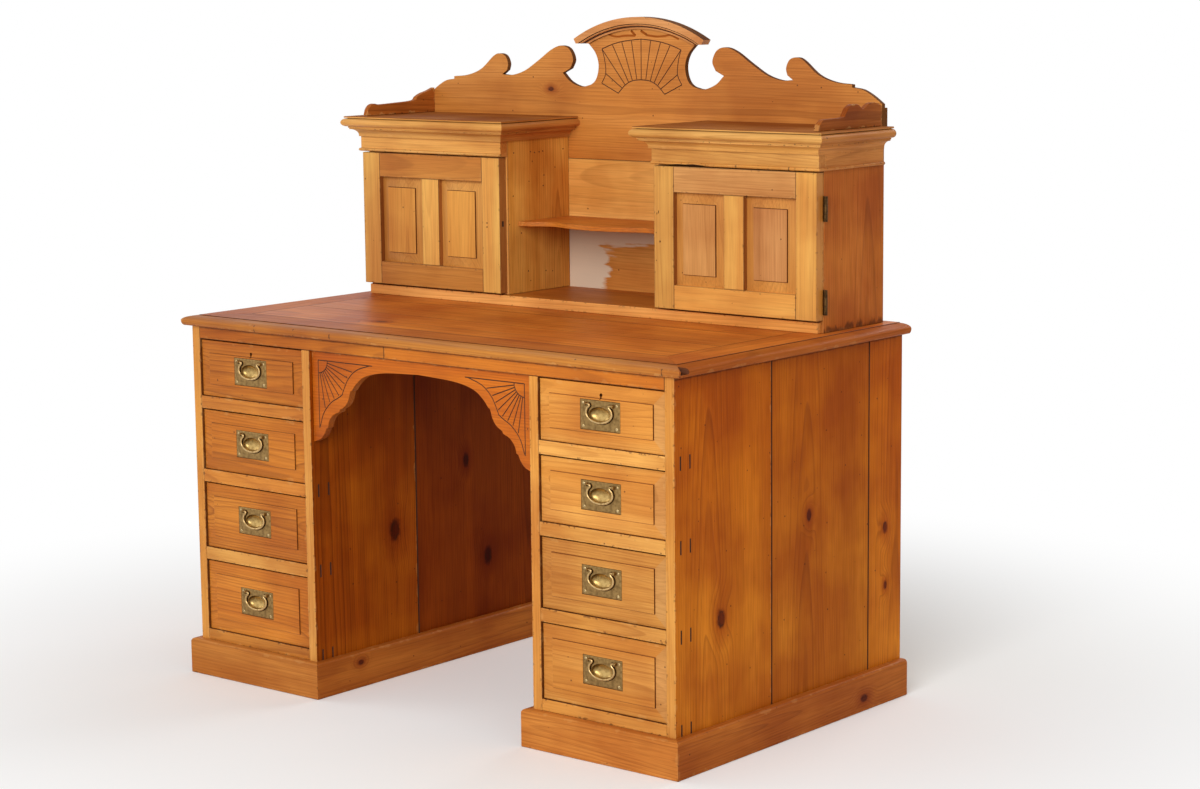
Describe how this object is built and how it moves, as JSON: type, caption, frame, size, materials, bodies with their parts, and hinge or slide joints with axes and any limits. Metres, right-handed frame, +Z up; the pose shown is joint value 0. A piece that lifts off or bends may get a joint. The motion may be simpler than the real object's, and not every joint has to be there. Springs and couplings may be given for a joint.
{
  "type": "pedestal desk",
  "caption": "Twin-pedestal pine desk with graduated drawers, flush brass bail handles, an arched kneehole apron and a cupboard superstructure under a scrolled crest.",
  "frame": {"origin": "on the floor, under the middle of the desk's bounding box", "axes": "+Z up, the drawers and doors face -Y, +X to the right of someone facing the desk"},
  "size_m": [1.344, 0.7774, 1.397],
  "materials": {
    "side_pine": "shellac, satin",
    "kneehole_pine": "shellac, dull",
    "back_pine": "bare, aged",
    "plinth_pine": "shellac, satin",
    "rail_pine": "shellac, satin",
    "drawer_pine": "shellac, satin",
    "top_pine": "waxed, satin",
    "apron_pine": "shellac, satin",
    "base_pine": "shellac, satin",
    "cabinet_pine": "shellac, satin",
    "cornice_pine": "shellac, satin",
    "backboard_pine": "shellac, satin",
    "shelf_pine": "shellac, satin",
    "gallery_pine": "shellac, satin",
    "door_pine": "shellac, satin",
    "aged_brass": "aged, dull"
  },
  "bodies": {
    "desk": {"desk_top": "top_pine", "top_rail": "rail_pine", "apron": "apron_pine", "left_outer_side": "side_pine", "left_inner_side": "kneehole_pine", "left_back": "back_pine", "left_plinth": "plinth_pine", "left_bottom": "rail_pine", "left_drawer_rail_1": "rail_pine", "left_drawer_rail_2": "rail_pine", "left_drawer_rail_3": "rail_pine", "right_outer_side": "side_pine", "right_inner_side": "kneehole_pine", "right_back": "back_pine", "right_plinth": "plinth_pine", "right_bottom": "rail_pine", "right_drawer_rail_1": "rail_pine", "right_drawer_rail_2": "rail_pine", "right_drawer_rail_3": "rail_pine", "base_board": "base_pine", "backboard": "backboard_pine", "shelf": "shelf_pine", "left_cabinet_outer_side": "cabinet_pine", "left_cabinet_inner_side": "cabinet_pine", "left_cabinet_top": "cornice_pine", "left_gallery": "gallery_pine", "left_hinge_lower": "aged_brass", "left_hinge_upper": "aged_brass", "right_cabinet_outer_side": "cabinet_pine", "right_cabinet_inner_side": "cabinet_pine", "right_cabinet_top": "cornice_pine", "right_gallery": "gallery_pine", "right_hinge_lower": "aged_brass", "right_hinge_upper": "aged_brass"},
    "left_drawer_1": {"left_drawer_1": "drawer_pine", "left_handle_plate_1": "aged_brass"},
    "left_drawer_2": {"left_drawer_2": "drawer_pine", "left_handle_plate_2": "aged_brass"},
    "left_drawer_3": {"left_drawer_3": "drawer_pine", "left_handle_plate_3": "aged_brass"},
    "left_drawer_4": {"left_drawer_4": "drawer_pine", "left_handle_plate_4": "aged_brass"},
    "left_handle_bail_1": {"left_handle_bail_1": "aged_brass"},
    "left_handle_bail_2": {"left_handle_bail_2": "aged_brass"},
    "left_handle_bail_3": {"left_handle_bail_3": "aged_brass"},
    "left_handle_bail_4": {"left_handle_bail_4": "aged_brass"},
    "right_drawer_1": {"right_drawer_1": "drawer_pine", "right_handle_plate_1": "aged_brass"},
    "right_drawer_2": {"right_drawer_2": "drawer_pine", "right_handle_plate_2": "aged_brass"},
    "right_drawer_3": {"right_drawer_3": "drawer_pine", "right_handle_plate_3": "aged_brass"},
    "right_drawer_4": {"right_drawer_4": "drawer_pine", "right_handle_plate_4": "aged_brass"},
    "right_handle_bail_1": {"right_handle_bail_1": "aged_brass"},
    "right_handle_bail_2": {"right_handle_bail_2": "aged_brass"},
    "right_handle_bail_3": {"right_handle_bail_3": "aged_brass"},
    "right_handle_bail_4": {"right_handle_bail_4": "aged_brass"},
    "left_door": {"left_door": "door_pine"},
    "right_door": {"right_door": "door_pine"}
  },
  "joints": [
    {"name": "left_drawer_1_slide", "type": "slide", "parent": "desk", "child": "left_drawer_1", "axis": [0, -1, 0], "range_m": [0, 0.45]},
    {"name": "left_drawer_2_slide", "type": "slide", "parent": "desk", "child": "left_drawer_2", "axis": [0, -1, 0], "range_m": [0, 0.45]},
    {"name": "left_drawer_3_slide", "type": "slide", "parent": "desk", "child": "left_drawer_3", "axis": [0, -1, 0], "range_m": [0, 0.45]},
    {"name": "left_drawer_4_slide", "type": "slide", "parent": "desk", "child": "left_drawer_4", "axis": [0, -1, 0], "range_m": [0, 0.45]},
    {"name": "left_bail_1_swing", "type": "hinge", "parent": "left_drawer_1", "child": "left_handle_bail_1", "pos_m": [-0.47425, -0.37485, 0.691], "axis": [-1, 0, 0], "range_deg": [0, 90]},
    {"name": "left_bail_2_swing", "type": "hinge", "parent": "left_drawer_2", "child": "left_handle_bail_2", "pos_m": [-0.47425, -0.37485, 0.5365], "axis": [-1, 0, 0], "range_deg": [0, 90]},
    {"name": "left_bail_3_swing", "type": "hinge", "parent": "left_drawer_3", "child": "left_handle_bail_3", "pos_m": [-0.47425, -0.37485, 0.372], "axis": [-1, 0, 0], "range_deg": [0, 90]},
    {"name": "left_bail_4_swing", "type": "hinge", "parent": "left_drawer_4", "child": "left_handle_bail_4", "pos_m": [-0.47425, -0.37485, 0.1965], "axis": [-1, 0, 0], "range_deg": [0, 90]},
    {"name": "right_drawer_1_slide", "type": "slide", "parent": "desk", "child": "right_drawer_1", "axis": [0, -1, 0], "range_m": [0, 0.45]},
    {"name": "right_drawer_2_slide", "type": "slide", "parent": "desk", "child": "right_drawer_2", "axis": [0, -1, 0], "range_m": [0, 0.45]},
    {"name": "right_drawer_3_slide", "type": "slide", "parent": "desk", "child": "right_drawer_3", "axis": [0, -1, 0], "range_m": [0, 0.45]},
    {"name": "right_drawer_4_slide", "type": "slide", "parent": "desk", "child": "right_drawer_4", "axis": [0, -1, 0], "range_m": [0, 0.45]},
    {"name": "right_bail_1_swing", "type": "hinge", "parent": "right_drawer_1", "child": "right_handle_bail_1", "pos_m": [0.47425, -0.37485, 0.691], "axis": [-1, 0, 0], "range_deg": [0, 90]},
    {"name": "right_bail_2_swing", "type": "hinge", "parent": "right_drawer_2", "child": "right_handle_bail_2", "pos_m": [0.47425, -0.37485, 0.5365], "axis": [-1, 0, 0], "range_deg": [0, 90]},
    {"name": "right_bail_3_swing", "type": "hinge", "parent": "right_drawer_3", "child": "right_handle_bail_3", "pos_m": [0.47425, -0.37485, 0.372], "axis": [-1, 0, 0], "range_deg": [0, 90]},
    {"name": "right_bail_4_swing", "type": "hinge", "parent": "right_drawer_4", "child": "right_handle_bail_4", "pos_m": [0.47425, -0.37485, 0.1965], "axis": [-1, 0, 0], "range_deg": [0, 90]},
    {"name": "left_door_hinge", "type": "hinge", "parent": "desk", "child": "left_door", "pos_m": [-0.6252, 0.1494, 0.806], "axis": [0, 0, -1], "range_deg": [0, 170]},
    {"name": "right_door_hinge", "type": "hinge", "parent": "desk", "child": "right_door", "pos_m": [0.6252, 0.1494, 0.806], "axis": [0, 0, 1], "range_deg": [0, 170]}
  ]
}
